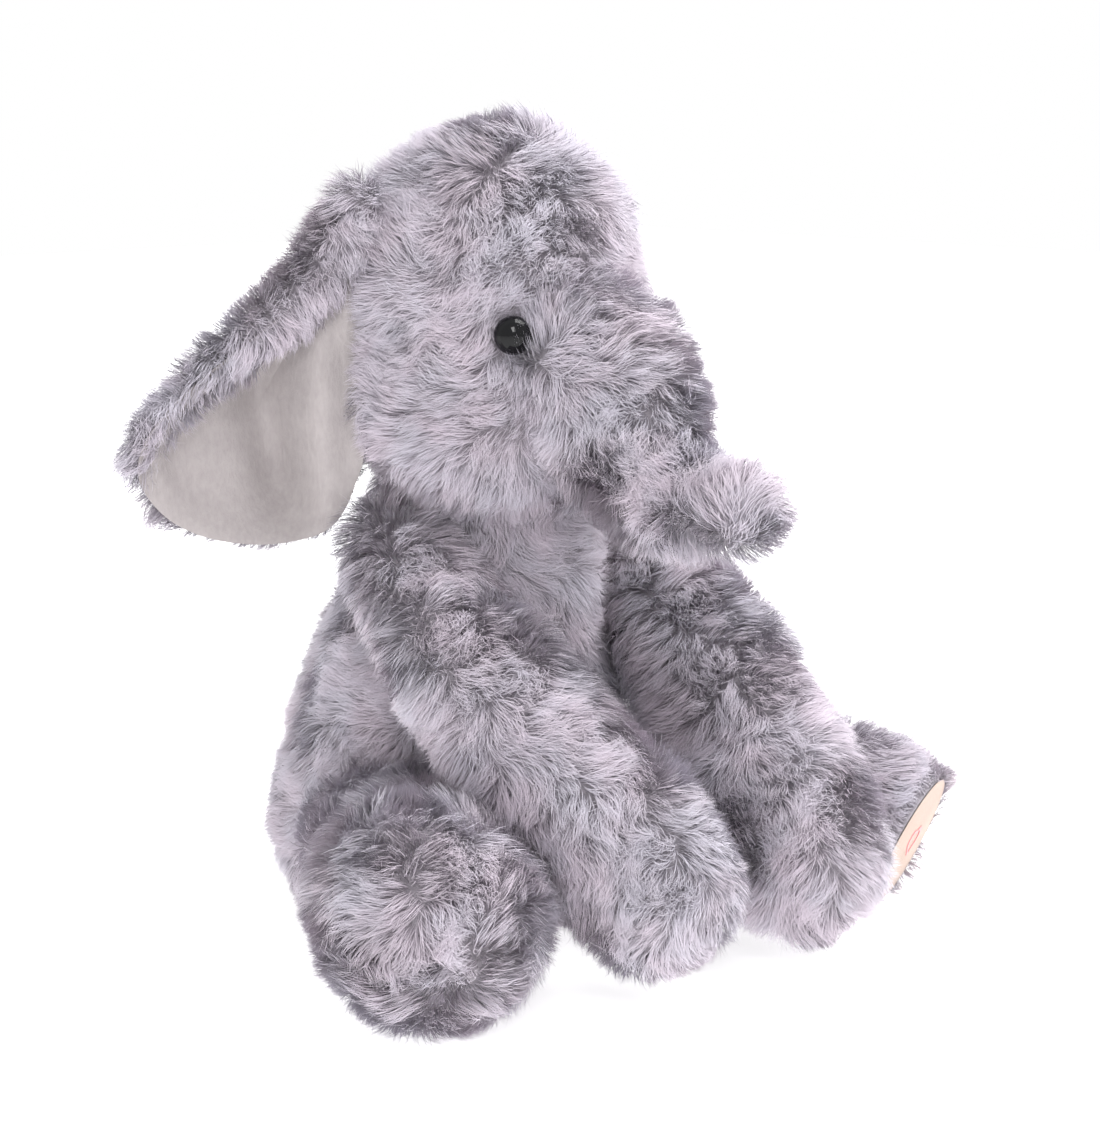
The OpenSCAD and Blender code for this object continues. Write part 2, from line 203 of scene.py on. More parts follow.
def cloth_material(name, dark, light, grain, bump, sheen=0.3, stretch=(1, 1, 1)):
    """Short plush or suede: fine grain over soft patches, with the grain raised."""
    material, nodes, links, shader = new_material(name)
    place = nodes.new("ShaderNodeTexCoord")
    mapping = nodes.new("ShaderNodeMapping")
    mapping.inputs["Scale"].default_value = stretch
    fine = node_of(nodes, "ShaderNodeTexNoise", Scale=grain, Detail=6.0, Roughness=0.65)
    broad = node_of(nodes, "ShaderNodeTexNoise", Scale=55.0, Detail=3.0, Roughness=0.55)
    links.new(place.outputs["Object"], mapping.inputs["Vector"])
    links.new(mapping.outputs["Vector"], fine.inputs["Vector"])
    links.new(place.outputs["Object"], broad.inputs["Vector"])
    both = node_of(nodes, "ShaderNodeMath", operation="MULTIPLY_ADD")
    both.inputs[1].default_value = 0.5
    links.new(fine.outputs["Fac"], both.inputs[0])
    half = node_of(nodes, "ShaderNodeMath", operation="MULTIPLY")
    half.inputs[1].default_value = 0.5
    links.new(broad.outputs["Fac"], half.inputs[0])
    links.new(half.outputs[0], both.inputs[2])
    ramp = ramp_of(nodes, [(0.36, dark), (0.62, light)])
    links.new(both.outputs[0], ramp.inputs["Fac"])
    links.new(ramp.outputs["Color"], shader.inputs["Base Color"])
    raised = node_of(nodes, "ShaderNodeBump", Strength=0.55, Distance=bump)
    links.new(both.outputs[0], raised.inputs["Height"])
    links.new(raised.outputs["Normal"], shader.inputs["Normal"])
    shader.inputs["Roughness"].default_value = 0.85
    shader.inputs["Specular IOR Level"].default_value = 0.2
    shader.inputs["Sheen Weight"].default_value = sheen
    shader.inputs["Sheen Roughness"].default_value = 0.4
    return material


def plastic_material(name, colour, roughness, shine):
    """Smooth plastic with faint specks and a slightly uneven polish."""
    material, nodes, links, shader = new_material(name)
    place = nodes.new("ShaderNodeTexCoord")
    specks = node_of(nodes, "ShaderNodeTexNoise", Scale=900.0, Detail=3.0)
    links.new(place.outputs["Object"], specks.inputs["Vector"])
    ramp = ramp_of(nodes, [(0.3, tuple(c * 0.8 for c in colour)), (0.7, colour)])
    links.new(specks.outputs["Fac"], ramp.inputs["Fac"])
    links.new(ramp.outputs["Color"], shader.inputs["Base Color"])
    worn = node_of(nodes, "ShaderNodeMapRange")
    worn.inputs["To Min"].default_value = roughness * 0.8
    worn.inputs["To Max"].default_value = roughness * 1.3
    links.new(specks.outputs["Fac"], worn.inputs["Value"])
    links.new(worn.outputs["Result"], shader.inputs["Roughness"])
    shader.inputs["Specular IOR Level"].default_value = shine
    return material


# From root to tip. The darker roots are partly the pile's own colour and partly painted shade deep in the
# pile.
FUR_STOPS = [
    (0.00, (0.400, 0.370, 0.410)),
    (0.35, (0.490, 0.453, 0.500)),
    (0.65, (0.590, 0.547, 0.602)),
    (1.00, (0.710, 0.662, 0.718)),
]
fur = fur_material("long_pile", FUR_STOPS, (0.95, 0.97, 1.0), (1.0, 0.955, 0.985))
# Painted shade: the skin under the pile is coloured dark so that the gaps in the pile read as shade in its
# depth.
backing_painted_shade = cloth_material("pile_backing_painted_shade", (0.26, 0.24, 0.265), (0.36, 0.33, 0.365), 700.0, 0.0006)
# Painted shade: the white lining plush is painted down to grey, for the cupped ear that faces away from the
# key light.
white_plush_painted_shade = cloth_material(
    "lining_plush", (0.35, 0.318, 0.320), (0.43, 0.393, 0.394), 620.0, 0.0016, 0.2, (1, 1, 0.45)
)
suede = cloth_material("suede", (0.38, 0.275, 0.225), (0.47, 0.35, 0.29), 1500.0, 0.0003, 0.25)
eye_black = plastic_material("eye_plastic", (0.004, 0.004, 0.005), 0.05, 0.22)
thread = cloth_material("pink_thread", (0.62, 0.20, 0.22), (0.78, 0.36, 0.36), 2600.0, 0.0002)
seam_thread = cloth_material("seam_thread", (0.20, 0.19, 0.22), (0.36, 0.34, 0.38), 2600.0, 0.0002)
tape = cloth_material("label_tape", (0.74, 0.74, 0.72), (0.86, 0.86, 0.84), 1800.0, 0.0002, 0.1)


# ---- Surfaces as points and quads, in millimetres ----


def grid_faces(rows, cols):
    """Quads between rows of points, where each row is a closed ring."""
    r, c = np.meshgrid(np.arange(rows - 1), np.arange(cols), indexing="ij")
    n = (c + 1) % cols
    quads = [r * cols + c, r * cols + n, (r + 1) * cols + n, (r + 1) * cols + c]
    return np.stack(quads, -1).reshape(-1, 4)


def facing_out(points, faces, caps):
    """The same closed surface with its faces turned outwards."""
    a, b, c, d = (points[faces[:, i]] for i in range(4))
    if np.einsum("ij,ij->", a + b + c + d, np.cross(c - a, d - b)) > 0:
        return points, faces, caps
    return points, faces[:, ::-1], [cap[::-1] for cap in caps]


DOME_ANGLES = np.radians([8, 22, 38, 54, 70, 84])


def tube(keys, ref=(0, 0, 1), sides=44, per_span=8, start=1.0, end=1.0):
    """A stuffed tube along rows of (x, y, z, radius across ref, radius along ref).

    start and end say how far each domed end stands out, as a share of the radius there.
    """
    line = spline(keys, per_span)
    centre, radii = line[:, :3], line[:, 3:5]
    ahead = unit(np.gradient(centre, axis=0))
    side = unit(np.cross(ahead, np.array(ref, float)))
    up = np.cross(side, ahead)
    rows = []

    def ring(c, s, u, r):
        a = np.arange(sides) * 2 * np.pi / sides
        return c + np.cos(a)[:, None] * s * r[0] + np.sin(a)[:, None] * u * r[1]

    for a in DOME_ANGLES[::-1]:
        middle = centre[0] - ahead[0] * radii[0].mean() * start * np.sin(a)
        rows.append(ring(middle, side[0], up[0], radii[0] * np.cos(a)))
    for c, s, u, r in zip(centre, side, up, radii):
        rows.append(ring(c, s, u, r))
    for a in DOME_ANGLES:
        middle = centre[-1] + ahead[-1] * radii[-1].mean() * end * np.sin(a)
        rows.append(ring(middle, side[-1], up[-1], radii[-1] * np.cos(a)))
    points = np.concatenate(rows)
    faces = grid_faces(len(rows), sides)
    caps = [list(range(sides))[::-1], list(range(len(points) - sides, len(points)))]
    return facing_out(points, faces, caps)


def ellipsoid_reach(direction, start, centre, radii):
    """How far a line from a point inside an ellipsoid runs before it leaves."""
    d = direction / radii
    o = (np.array(start, float) - centre) / radii
    a = dot(d, d)[:, 0]
    b = (d * o).sum(-1)
    c = (o * o).sum() - 1
    return (-b + np.sqrt(np.maximum(b * b - a * c, 0))) / a


def ball_grid(rows=64, sides=80):
    """Directions all round a point, with the quads and the two end faces between them."""
    lat = np.linspace(-np.pi / 2, np.pi / 2, rows + 2)[1:-1]
    lon = np.arange(sides) * 2 * np.pi / sides
    la, lo = np.meshgrid(lat, lon, indexing="ij")
    d = np.stack([np.cos(la) * np.cos(lo), np.cos(la) * np.sin(lo), np.sin(la)], -1).reshape(-1, 3)
    caps = [list(range(sides))[::-1], list(range((rows - 1) * sides, rows * sides))]
    return d, grid_faces(rows, sides), caps


def triangles(faces):
    faces = np.asarray(faces)
    return np.concatenate([faces[:, [0, 1, 2]], faces[:, [0, 2, 3]]])


def point_normals(points, tris):
    """Outward normals at the points of a surface, weighted by the faces round them."""
    a, b, c = (points[tris[:, i]] for i in range(3))
    face = np.cross(b - a, c - a)
    out = np.zeros_like(points)
    for i in range(3):
        np.add.at(out, tris[:, i], face)
    return unit(out)


# ---- Blender objects ----


def linked(name, data):
    """A new object in the scene for a mesh, lamp or camera."""
    obj = bpy.data.objects.new(name, data)
    bpy.context.scene.collection.objects.link(obj)
    return obj


def mesh_object(name, surface, material):
    """A smooth object from points in millimetres, quads, and end faces of any number of sides."""
    points, faces, caps = surface
    polygons = [list(map(int, f)) for f in faces] + [list(c) for c in caps]
    mesh = bpy.data.meshes.new(name)
    mesh.from_pydata((np.asarray(points) * MM).tolist(), [], polygons)
    mesh.polygons.foreach_set("use_smooth", [True] * len(mesh.polygons))
    mesh.update()
    mesh.materials.append(material)
    return linked(name, mesh)


PAINTED_SIDE_SHADE = 0.06  # painted light and shade of a round strand: one edge is painted this much lighter and the other this much darker


def add_values(mesh, name, values):
    """A number for each point of the mesh, for its material to read."""
    mesh.attributes.new(name, "FLOAT", "POINT").data.foreach_set("value", values.astype(np.float32).ravel())


def strand_object(name, line, across, normal, tone):
    """One mesh of flat tapered strands.

    line is (n, STEPS, 3), across is the half width at each step as a vector, normal is the shading
    normal at each step, and tone is one number for each strand, from dark to light.
    """
    n = len(line)
    left, right = line[:, :-1] - across[:, :-1], line[:, :-1] + across[:, :-1]
    points = np.concatenate([np.stack([left, right], 2).reshape(n, -1, 3), line[:, -1:]], 1)
    per = points.shape[1]
    quads = STEPS - 2
    pattern = []
    for k in range(quads):
        pattern += [2 * k, 2 * k + 1, 2 * k + 3, 2 * k + 2]
    pattern += [2 * quads, 2 * quads + 1, per - 1]
    loops = (np.array(pattern)[None] + per * np.arange(n)[:, None]).ravel()
    sizes = np.tile([4] * quads + [3], n)
    starts = np.concatenate([[0], np.cumsum(sizes)[:-1]])
    mesh = bpy.data.meshes.new(name)
    mesh.vertices.add(n * per)
    mesh.vertices.foreach_set("co", (points * MM).astype(np.float32).ravel())
    mesh.loops.add(len(loops))
    mesh.loops.foreach_set("vertex_index", loops.astype(np.int32))
    mesh.polygons.add(len(sizes))
    mesh.polygons.foreach_set("loop_start", starts.astype(np.int32))
    mesh.polygons.foreach_set("use_smooth", np.ones(len(sizes), bool))
    along = np.concatenate([np.repeat(np.arange(STEPS - 1), 2), [STEPS - 1]]) / (STEPS - 1)
    add_values(mesh, "tip", np.tile(along, n))
    # Painted light and shade across each strand: one edge lighter, the other darker.
    sides = np.tile([PAINTED_SIDE_SHADE, -PAINTED_SIDE_SHADE], STEPS - 1)
    add_values(mesh, "tone", tone[:, None] + np.concatenate([sides, [0.0]])[None])
    free = mesh.attributes.new("custom_normal", "FLOAT_VECTOR", "POINT")
    each = np.concatenate([np.repeat(normal[:, :-1], 2, 1), normal[:, -1:]], 1)
    free.data.foreach_set("vector", each.astype(np.float32).ravel())
    cells = int(math.ceil(math.sqrt(n)))  # each strand has its own cell of a square UV map
    u = np.concatenate([np.tile([0.3, 0.7], STEPS - 1), [0.5]])
    uv = np.stack([
        ((np.arange(n) % cells)[:, None] + u[None]) / cells,
        ((np.arange(n) // cells)[:, None] + 0.1 + 0.8 * along[None]) / cells,
    ], -1).reshape(-1, 2)
    layer = mesh.uv_layers.new(name="OFBake")
    layer.data.foreach_set("uv", uv[loops].astype(np.float32).ravel())
    mesh.update(calc_edges=True)
    mesh.materials.append(fur)
    return linked(name, mesh)


# ---- The pile ----


# How the pile lies. Angles are in radians, and a patch is the size of a feature in millimetres.
BROAD_TURN, BROAD_PATCH = 2.1, 22  # how the comb turns about the normal from place to place
FINE_TURN, FINE_PATCH = 1.5, 10
LEAN, LEAN_CHANGE, LEAN_PATCH = 0.40, 0.42, 14  # from the normal, at the root
LEAN_LIMITS = (0.05, 1.1)
BEND, BEND_CHANGE, BEND_PATCH = 0.80, 0.35, 11  # how much further it leans at the tip
TIP_LIMITS = (0.2, 1.6)
LENGTH_CHANGE, LENGTH_PATCH = 0.14, 14  # as a share of the length
GUIDE = dict(turn=0.55, lean=0.2, curl=0.9, lengths=(0.85, 1.2))  # spreads of the tufts
STRAND = dict(turn=0.3, lean=0.16, curl=0.6, lengths=(0.72, 1.12))  # spreads of single strands
SMALL_TUFT = 0.3  # a small tuft's spacing, as a share of a big one's
TUFT_PULL = 0.55  # how far small tufts gather into big ones
PULL, PULL_SPREAD = 0.54, (0.75, 1.2)  # how far strands gather into small tufts
PULL_RISE = 0.8  # the power by which that pull grows along a strand
ROOT_SPREAD = 0.6  # how much of its own place a strand keeps inside its tuft
LOOSE_SHARE, LOOSE_PULL = 0.18, 0.1  # the strands that stray from their tuft
OFF_FLOOR, OFF_FLOOR_SPREAD = 0.25, 0.3  # the least height of a strand above the floor
TWIST = 0.5  # how far strands turn about their own line
TAPER = np.array([0.8, 1.0, 0.75, 0.0])  # the share of a strand's width at each of its points
WIDTH, WIDTH_SPREAD = 0.19, (0.7, 1.25)
SKIN_SHADE, FACE_SHADE, SHADE_SPREAD = 0.85, 0.3, 0.08  # what the shading normal is mixed from
STRAND_TONE, TUFT_TONE, PATCH_TONE, TONE_PATCH = 0.30, 0.28, 0.08, 30  # how far the tone changes


def scatter(points, faces, density, rng):
    """Random roots over a surface: places and normals."""
    tris = triangles(faces)
    normals = point_normals(points, tris)
    a, b, c = (points[tris[:, i]] for i in range(3))
    area = np.linalg.norm(np.cross(b - a, c - a), axis=1) / 2
    count = int(area.sum() * density)
    pick = rng.choice(len(tris), count, p=area / area.sum())
    r1, r2 = np.sqrt(rng.random(count)), rng.random(count)
    w = np.stack([1 - r1, r1 * (1 - r2), r1 * r2], 1)
    t = tris[pick]
    place = sum(points[t[:, i]] * w[:, i : i + 1] for i in range(3))
    normal = unit(sum(normals[t[:, i]] * w[:, i : i + 1] for i in range(3)))
    return place, normal


def turned(v, axis, angle):
    """v turned about axis, for many rows at once."""
    c, s = np.cos(angle)[:, None], np.sin(angle)[:, None]
    return v * c + np.cross(axis, v) * s + axis * dot(axis, v) * (1 - c)


def grown(root, normal, comb, length, low, high, curl):
    """Strand lines that leave the skin at one angle, bend over to another and curl round the normal."""
    line = [root]
    for k in range(1, STEPS):
        s = (k - 0.5) / (STEPS - 1)
        angle = low + (high - low) * s
        d = normal * np.cos(angle)[:, None] + turned(comb, normal, curl * s) * np.sin(angle)[:, None]
        line.append(line[-1] + d * (length / (STEPS - 1))[:, None])
    return np.stack(line, 1)


def nearest(guides, points):
    """For each point, which guide is closest."""
    tree = kdtree.KDTree(len(guides))
    for i, g in enumerate(guides):
        tree.insert(g, i)
    tree.balance()
    return np.array([tree.find(p)[1] for p in points])


def pile(name, body, surface, flow, seed, length=12.0, density=1.0, clump=9.0, swirl=1.0,
         trim=None, keep=None):
    """Covers a surface with pile that rides on a body.

    flow combs the pile, clump is the spacing of its tufts, swirl is how much the comb turns from
    place to place, trim scales the length, and keep says which roots stay.
    """
    rng = np.random.default_rng(seed)
    root, normal = scatter(surface[0], surface[1], DENSITY * density, rng)
    if keep is not None:
        ok = keep(root, normal)
        root, normal = root[ok], normal[ok]
    n = len(root)

    def directions(p, nrm, wild):
        comb = flow(p, nrm)
        comb = unit(comb - nrm * dot(comb, nrm) + 1e-6)
        broad = BROAD_TURN * noise(p, BROAD_PATCH, seed + 11)
        fine = FINE_TURN * noise(p, FINE_PATCH, seed + 12)
        return turned(comb, nrm, swirl * (broad + fine) + wild)

    def angles(p, spread):
        low = np.clip(LEAN + LEAN_CHANGE * noise(p, LEAN_PATCH, seed + 21) + spread, *LEAN_LIMITS)
        return low, np.clip(low + BEND + BEND_CHANGE * noise(p, BEND_PATCH, seed + 22), *TIP_LIMITS)

    def lengths(p, scale):
        size = length * scale * (1 + LENGTH_CHANGE * noise(p, LENGTH_PATCH, seed + 31))
        return size if trim is None else size * trim(p)

    def lines(p, nrm, spread):
        count = len(p)
        comb = directions(p, nrm, rng.normal(0, spread["turn"], count))
        low, high = angles(p, rng.normal(0, spread["lean"], count))
        size = lengths(p, rng.uniform(*spread["lengths"], count))
        return grown(p, nrm, comb, size, low, high, rng.normal(0, spread["curl"], count))

    def guides(spacing):
        count = max(8, min(n, int(n / (DENSITY * density * spacing**2))))
        chosen = rng.choice(n, count, replace=False)
        return lines(root[chosen], normal[chosen], GUIDE)

    big = guides(clump)
    small = guides(clump * SMALL_TUFT)
    s = np.linspace(0, 1, STEPS)[None, :, None]
    to_big = nearest(big[:, 0], small[:, 0])
    small = small + (big[to_big] - small) * s * TUFT_PULL
    own = nearest(small[:, 0], root)
    line = lines(root, normal, STRAND)
    loose = rng.random(n) < LOOSE_SHARE
    pull = np.where(loose, LOOSE_PULL, PULL * rng.uniform(*PULL_SPREAD, n))[:, None, None]
    target = small[own] + (line[:, :1] - small[own][:, :1]) * (1 - s) * ROOT_SPREAD
    line = line + (target - line) * s**PULL_RISE * pull
    line[..., 2] = np.maximum(line[..., 2], OFF_FLOOR + OFF_FLOOR_SPREAD * rng.random((n, 1)))
    ahead = unit(np.gradient(line, axis=1))
    nrm = np.repeat(normal[:, None], STEPS, 1)
    side = unit(np.cross(ahead, nrm) + 1e-6)
    twist = rng.normal(0, TWIST, n)[:, None, None]
    side = unit(side * np.cos(twist) + np.cross(ahead, side) * np.sin(twist))
    face = unit(np.cross(side, ahead))
    face = np.where(dot(face, nrm) < 0, -face, face)
    half_width = WIDTH * WIDEN / 2 * rng.uniform(*WIDTH_SPREAD, n)
    across = side * TAPER[None, :, None] * half_width[:, None, None]
    shade = unit(nrm * SKIN_SHADE + face * FACE_SHADE + rng.normal(0, SHADE_SPREAD, (n, 1, 3)))
    group = rng.random(len(big))[to_big][own]
    tone = 0.5 + STRAND_TONE * (rng.random(n) - 0.5) + TUFT_TONE * (group - 0.5)
    tone = np.clip(tone + PATCH_TONE * noise(root, TONE_PATCH, seed + 41), 0, 1)
    pieces = []
    for i, first in enumerate(range(0, n, PIECE_STRANDS)):
        part = slice(first, first + PIECE_STRANDS)
        obj = strand_object(f"{name}_{i + 1}", line[part], across[part], shade[part], tone[part])
        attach(obj, body)
        pieces.append(obj)
    return pieces


# ---- Skins ----


def shrunk(keys, by=PILE):
    """Tube rows for the skin under a pile whose outside the rows give."""
    keys = np.array(keys, float)
    keys[:, 3:] = np.maximum(keys[:, 3:] - by, 3)
    return keys


def with_lumps(surface, amount, size, seed):
    """A surface pushed in and out by the filling under it."""
    points, faces, caps = surface
    normals = point_normals(points, triangles(faces))
    return points + normals * (amount * noise(points, size, seed))[:, None], faces, caps


def above_floor(points):
    """Lifts the points of a skin that would lie too close to the floor or under it."""
    points[:, 2] = np.maximum(points[:, 2], FLOOR_GAP)


def stuffed(name, body, surface, replaced):
    """A stuffed skin that stands for CAD nodes and rides on their body."""
    obj = mesh_object(name, surface, backing_painted_shade)
    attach(obj, body)
    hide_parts(*replaced)


def toward(v):
    """A comb that points one way everywhere."""
    v = np.array(v, float)
    return lambda p, n: np.broadcast_to(v, p.shape).copy()


# Torso: an egg that leans forward as it narrows to the neck, and sits flat on the floor.
torso_keys = shrunk([
    (0, 9, 10, 55, 55), (0, 8, 30, 62, 62), (0, 4.5, 50, 58.5, 58.5), (0, -0.5, 72, 54.5, 54.5),
    (0, -5, 90, 51, 51), (0, -9, 112, 45, 45), (0, -10, 132, 40, 40), (0, -10, 147, 37, 37),
])
torso_skin = with_lumps(tube(torso_keys, ref=(0, 1, 0), sides=64, start=0.6, end=0.4), 1.6, 24, 3)
above_floor(torso_skin[0])
torso_nodes = [
    "torso_belly", "torso_back_left", "torso_back_right", "torso_seat", "torso_stuffing", "pellet_pouch",
    "seat_pellets",
]
stuffed("torso_skin", "torso", torso_skin, torso_nodes)

# Neck: hidden between the head and the body, and seen only as the head turns.
neck_keys = [(0, -11, 141, 26, 26), (0, -11, 152, 26, 26), (0, -11, 160, 22, 22)]
neck_skin = tube(neck_keys, ref=(0, 1, 0), start=0.15, end=0.5)
stuffed("neck_skin", "neck", neck_skin, ["neck_sleeve", "neck_stuffing"])

# Head: a tall crown over full cheeks, dented at the eyes.
CROWN_POWER = 2.12  # a little squarer than an ellipsoid
eyes = [np.array([s * 27.7, -55.7, 199.0]) for s in (-1, 1)]
head_dir, head_faces, head_caps = ball_grid()
head_mid = np.array([0, -15.5, 205.0])
crown_size = np.array([49, 50, 61.0]) - PILE
cheek_mid, cheek_size = np.array([0, -22, 178.0]), np.array([51.5, 50, 46.0]) - PILE
crown = ((np.abs(head_dir / crown_size) ** CROWN_POWER).sum(1)) ** (-1 / CROWN_POWER)
cheeks = ellipsoid_reach(head_dir, head_mid, cheek_mid, cheek_size)
head_r = np.maximum(crown, cheeks) + 1.5 * hump(crown - cheeks, 4)
head_points = head_mid + head_dir * head_r[:, None]
for eye in eyes:
    near = np.linalg.norm(head_points - eye, axis=1)
    head_points -= head_dir * (2.2 * hump(near, 9))[:, None]
head_skin = with_lumps((head_points, head_faces, head_caps), 1.4, 22, 5)
head_nodes = [
    "head_side_left", "head_side_right", "head_gusset", "head_chin", "head_stuffing", "eye_washer_left",
    "eye_washer_right",
]
stuffed("head_skin", "head", head_skin, head_nodes)

# Trunk: a full root that hangs, and a tip that turns up at the end.
base_keys = shrunk([
    (0, -53, 193.5, 26, 28), (0, -67, 184, 27.5, 30), (0, -80, 167.5, 26, 27), (0, -94, 153, 20, 20.5),
])
base_skin = with_lumps(tube(base_keys, ref=(1, 0, 0), start=0.8, end=0.9), 1.2, 18, 7)
base_nodes = ["trunk_base_upper", "trunk_base_lower", "trunk_base_stuffing"]
stuffed("trunk_base_skin", "trunk_base", base_skin, base_nodes)
tip_keys = shrunk([
    (0, -93, 153, 19, 19), (0, -106, 149.5, 17, 16), (0, -117, 149, 16, 15), (0, -125, 150, 15, 15),
], TIP_PILE)
tip_skin = with_lumps(tube(tip_keys, ref=(1, 0, 0), start=0.9, end=0.8), 0.8, 14, 8)
tip_nodes = ["trunk_tip_upper", "trunk_tip_lower", "trunk_tip_stuffing"]
stuffed("trunk_tip_skin", "trunk_tip", tip_skin, tip_nodes)

# Front legs reach forward and down between the hind legs.
arm_keys = {
    "left": [
        (41, -12, 133, 19, 19), (44, -38, 111, 21, 22), (44.3, -64, 91, 27.8, 27.5),
        (43.3, -88, 68, 30.3, 28.5), (41, -108, 46.5, 29, 28), (39, -118, 34.5, 28, 27),
    ],
    "right": [
        (-41, -13, 131, 18.5, 18.5), (-45, -38, 112, 23, 24), (-46, -66, 92, 27, 27),
        (-39, -89, 69, 28, 28), (-31, -109, 49.5, 29, 27.5), (-27, -117, 40, 28.5, 26.8),
    ],
}
arm_skins = {}
for seed, (side, keys) in enumerate(arm_keys.items(), 11):
    arm_skins[side] = with_lumps(tube(shrunk(keys), ref=(1, 0, 0), end=0.95), 1.4, 20, seed)
    arm_nodes = [f"arm_{side}_outer", f"arm_{side}_inner", f"arm_{side}_stuffing"]
    stuffed(f"arm_{side}_skin", f"arm_{side}", arm_skins[side], arm_nodes)

# Hind legs splay outwards along the floor. The left one ends in a flat suede sole, and the right
# one in a domed end.
leg_keys = {
    "left": [
        (36, -6, 33, 31, 31), (58, -36, 31, 29, 29), (80, -66, 30, 29, 28.5), (98, -86, 30, 30, 31),
        (104.3, -98.5, 26, 30.5, 31), (107.8, -106, 22.5, 30, 30),
    ],
    "right": [
        (-36, -6, 34, 31, 31), (-56, -38, 34, 32, 32), (-78, -72, 36, 34.5, 34.5),
        (-86, -86, 36.5, 35.2, 35.2),
    ],
}
sole_mid = np.array([107.8, -106.0, 21.3])
sole_way = unit(np.array([0.336, -0.859, -0.385]))
leg_skins = {}
for seed, (side, keys) in enumerate(leg_keys.items(), 21):
    leg_end = 0.5 if side == "left" else 1.0
    points, faces, caps = with_lumps(tube(shrunk(keys), ref=(0, 0, 1), end=leg_end), 1.3, 20, seed)
    leg_nodes = [f"leg_{side}_upper", f"leg_{side}_lower", f"leg_{side}_stuffing"]
    if side == "left":
        past = np.maximum(dot(points - sole_mid, sole_way) + 1.0, 0)
        points = points - sole_way * past
    else:
        leg_nodes.append("leg_right_sole")
    above_floor(points)
    leg_skins[side] = (points, faces, caps)
    stuffed(f"leg_{side}_skin", f"leg_{side}", leg_skins[side], leg_nodes)

# Tail
tail_keys = [(0, 60, 50, 6, 6), (0, 68, 34, 5, 5), (0, 77, 20, 5, 5), (0, 80, 14, 6, 6)]
tail_skin = tube(tail_keys, ref=(1, 0, 0), sides=20)
stuffed("tail_skin", "tail", tail_skin, ["tail_sleeve", "tail_tuft"])


# ---- Ears ----

# Each ear is drawn flat, as reach from its root and height, and then placed in its own plane.
ear_line = [
    (-4, 235), (4, 222), (15, 209), (31, 196), (43, 187), (53.5, 178), (59.5, 171.5), (64, 165),
    (66.5, 157), (64.5, 148.5), (57, 139.5), (45, 133.5), (30, 131), (17, 132), (8, 135), (2.5, 141),
    (-1, 149), (-4, 158), (-5.5, 175), (-5.5, 200), (-5, 220),
]
roll_radii = (7.5, 7.5, 6.5, 5, 4, 3.5, 3.2, 2.9, 2.2)  # along the first points of the outline
ear_middle = np.array([30.0, 168.0])
HALF_GAP = 2.2  # from the ear's middle surface to each of its two fabrics


def ear_frame(side):
    """An ear's root, and the ways that run out along it and in front of it."""
    out = np.array([side * 0.839, 0.545, 0])
    front = np.array([side * 0.545, -0.839, 0])
    return np.array([side * 47.0, 0, 0]), out, front


def ear_place(side, u, z, lift):
    """Points of the ear from their reach, height and distance in front of its plane."""
    origin, out, front = ear_frame(side)
    return origin + u[:, None] * out + z[:, None] * UP + lift[:, None] * front


def ear_sheet(side, offset):
    """One fabric of the ear, from its middle to its outline, with the rim curled forward."""
    edge = spline(ear_line, 8, closed=True)
    rings = np.linspace(0.06, 1, 20)
    uz = ear_middle + (edge - ear_middle)[None] * rings[:, None, None]
    t = np.repeat(rings[:, None], len(edge), 1)
    u, z = uz[..., 0], uz[..., 1]
    top = smooth(z - (204 - 0.75 * u), -18, 8)
    lift = -10 * (1 - t**2.5) + 8 * t**6 * top + 3 * t**6 * (1 - top)
    band = 9 * hump(u - 8, 8) - 9 * hump(u - 25 - (z - 165) * 0.2, 9)
    lift = lift + band * (1 - t**3) + 4.5 * hump(t - 0.83, 0.07) * top
    lift = lift + 1.5 * np.sin(z / 9 + u / 14) * (1 - t) + offset * np.sqrt(np.maximum(1 - t**6, 0))
    points = ear_place(side, u.ravel(), z.ravel(), lift.ravel())
    faces = grid_faces(len(rings), len(edge))
    if side < 0:
        faces = faces[:, ::-1]
    cap = list(range(len(edge)))
    return points, faces, [cap if side < 0 else cap[::-1]]


for side, word in ((1, "left"), (-1, "right")):
    body = f"ear_{word}"
    origin, out, front = ear_frame(side)
    lining_surface = ear_sheet(side, HALF_GAP)
    points, faces, caps = ear_sheet(side, -HALF_GAP)
    outer_surface = (points, faces[:, ::-1], [caps[0][::-1]])
    lining = mesh_object(f"{body}_lining_skin", lining_surface, white_plush_painted_shade)
    outer = mesh_object(f"{body}_outer_skin", outer_surface, backing_painted_shade)
    rim = np.array(ear_line[: len(roll_radii)], float)
    centres = ear_place(side, rim[:, 0], rim[:, 1], np.full(len(rim), 1.5))
    roll_keys = [(*c, r, r) for c, r in zip(centres, roll_radii)]
    roll_surface = tube(roll_keys, ref=tuple(front), sides=20, per_span=6)
    roll = mesh_object(f"{body}_roll_skin", roll_surface, backing_painted_shade)
    for obj, slot_name in ((lining, "lining_plush"), (outer, "long_pile"), (roll, "long_pile")):
        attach(obj, body)
    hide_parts(f"{body}_outer")
    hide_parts(f"{body}_lining")

    def short_below(p, origin=origin, out=out):
        """Shorter pile at the ear's lower corner, where it hangs beside the shoulder."""
        reach = ((p - origin) * out).sum(1)
        return 1 - 0.6 * smooth(p[:, 2], 160, 142) * smooth(reach, 58, 44)

    down_the_back = toward(out * 0.6 + np.array([0, 0, -0.8]))
    over_the_top = toward(front * 0.55 + np.array([0, 0, -0.75]) + out * 0.1)
    back_pile = pile(f"{body}_pile", body, outer_surface, down_the_back, seed=60 + side, length=11, clump=7,
                     trim=short_below)
    roll_pile = pile(f"{body}_roll_pile", body, roll_surface, over_the_top, seed=70 + side, length=10,
                     density=1.3, clump=7, swirl=0.7)


# ---- Pile over the bodies ----


